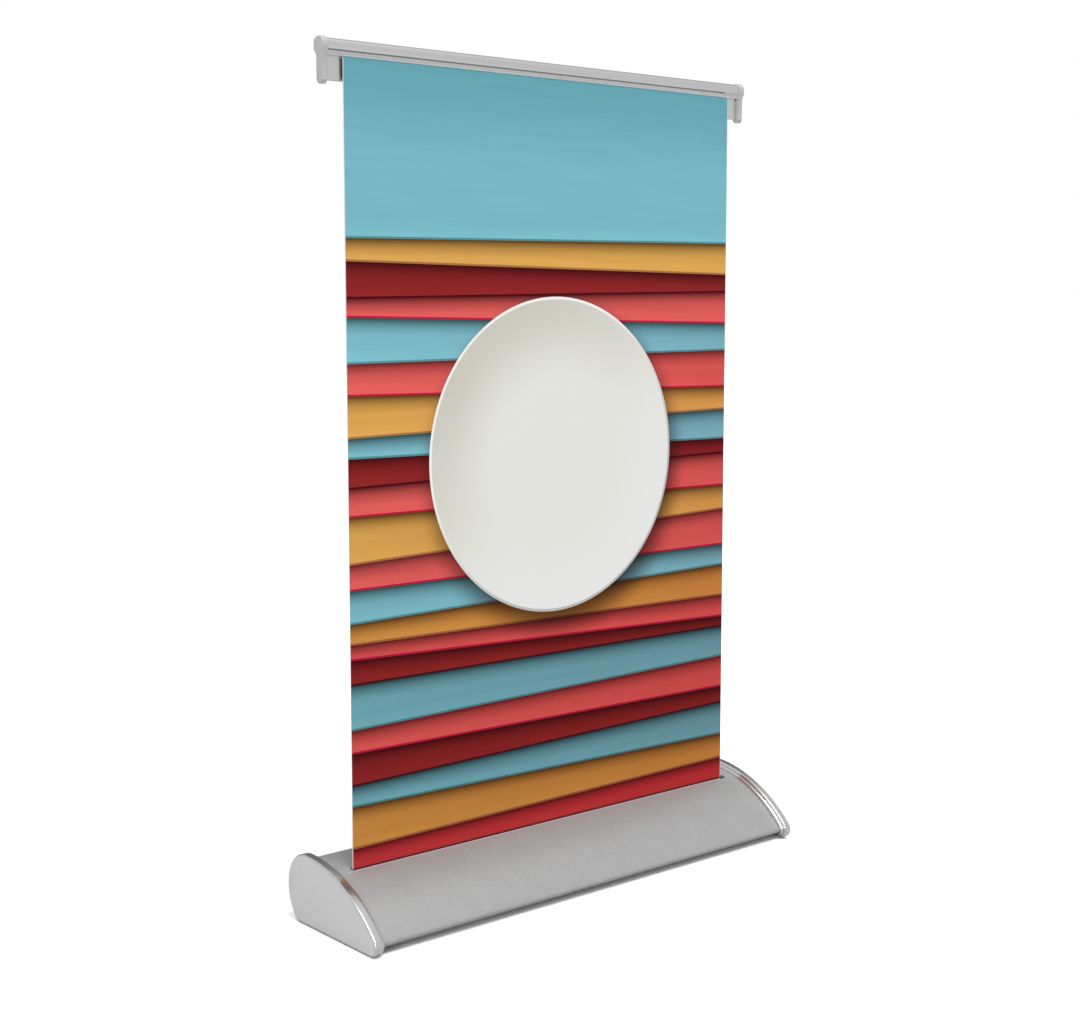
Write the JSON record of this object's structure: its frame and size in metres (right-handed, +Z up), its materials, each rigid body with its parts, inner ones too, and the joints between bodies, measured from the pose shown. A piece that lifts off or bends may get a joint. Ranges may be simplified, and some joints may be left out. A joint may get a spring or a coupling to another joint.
{
  "type": "roll-up banner stand",
  "caption": "Table-top roll-up banner stand: a printed film drawn out of a teardrop-section aluminium base, taped to a top rail that a two-piece pole holds up from behind.",
  "frame": {"origin": "on the table under the middle of the base, at the bottom of the rubber feet", "axes": "+X along the base to the right as seen from the front, +Y to the back, +Z up"},
  "size_m": [0.3274, 0.0872, 0.4866],
  "materials": {
    "satin_aluminium": "satin anodised, fine bead-blasted grain",
    "chrome_rim": "polished",
    "plate_grey": "matte silver-grey",
    "screw_steel": "zinc plated",
    "foot_rubber": "matte",
    "black_nylon": "fine moulded texture",
    "bright_steel": "drawn",
    "white_nylon": "natural nylon",
    "spring_steel": "oiled",
    "blank_film": "matte film",
    "pole_aluminium": "satin anodised",
    "printed_film": "printed, satin laminate",
    "rail_aluminium": "satin anodised",
    "rail_cap_grey": "satin silver-grey",
    "foam_tape": "dark grey foam",
    "elastic_cord": "braided sleeve"
  },
  "bodies": {
    "base": {"housing": "satin_aluminium", "end_cap_left": "chrome_rim", "end_cap_right": "chrome_rim", "face_plate_left": "plate_grey", "face_plate_right": "plate_grey", "cap_screws": "screw_steel", "rubber_feet": "foot_rubber", "pole_socket": "black_nylon", "socket_screw": "screw_steel", "spring_shaft": "bright_steel", "spring_collar": "white_nylon", "torsion_spring": "spring_steel", "idle_pin": "bright_steel", "leader_strip": "blank_film"},
    "roller": {"roller_tube": "pole_aluminium", "drive_plug": "black_nylon", "shaft_guide": "white_nylon", "idle_plug": "black_nylon", "film_roll": "blank_film"},
    "rail": {"top_rail": "rail_aluminium", "rail_cap_left": "rail_cap_grey", "rail_cap_right": "rail_cap_grey", "rail_tape": "foam_tape", "banner_graphic": "printed_film"},
    "lower_pole": {"lower_pole": "pole_aluminium", "pole_foot": "black_nylon", "pole_ferrule": "bright_steel", "bungee_cord": "elastic_cord"},
    "upper_pole": {"upper_pole": "pole_aluminium"},
    "hook": {"pole_hook": "black_nylon"}
  },
  "joints": [
    {"name": "banner_slide", "type": "slide", "parent": "base", "child": "rail", "axis": [0, 0, 1], "range_m": [-0.422, 0], "deforming": ["banner_graphic", "pole_hook"]},
    {"name": "roller_spin", "type": "hinge", "parent": "base", "child": "roller", "pos_m": [0, -0.00515, 0.0176], "axis": [1, 0, 0], "range_deg": [-2800, 0]},
    {"name": "pole_pull", "type": "slide", "parent": "base", "child": "lower_pole", "axis": [0, 0, 1], "range_m": [0, 0.035]},
    {"name": "section_pull", "type": "slide", "parent": "lower_pole", "child": "upper_pole", "axis": [0, 0, 1], "range_m": [0, 0.034], "stiffness_N_per_m": 60, "deforming": ["bungee_cord"]},
    {"name": "hook_turn", "type": "hinge", "parent": "upper_pole", "child": "hook", "pos_m": [0, 0.0175, 0.47], "axis": [0, 0, 1], "continuous": true}
  ],
  "couplings": [
    {"joint": "roller_spin", "follows": "banner_slide", "rad_per_m": 114.94}
  ]
}
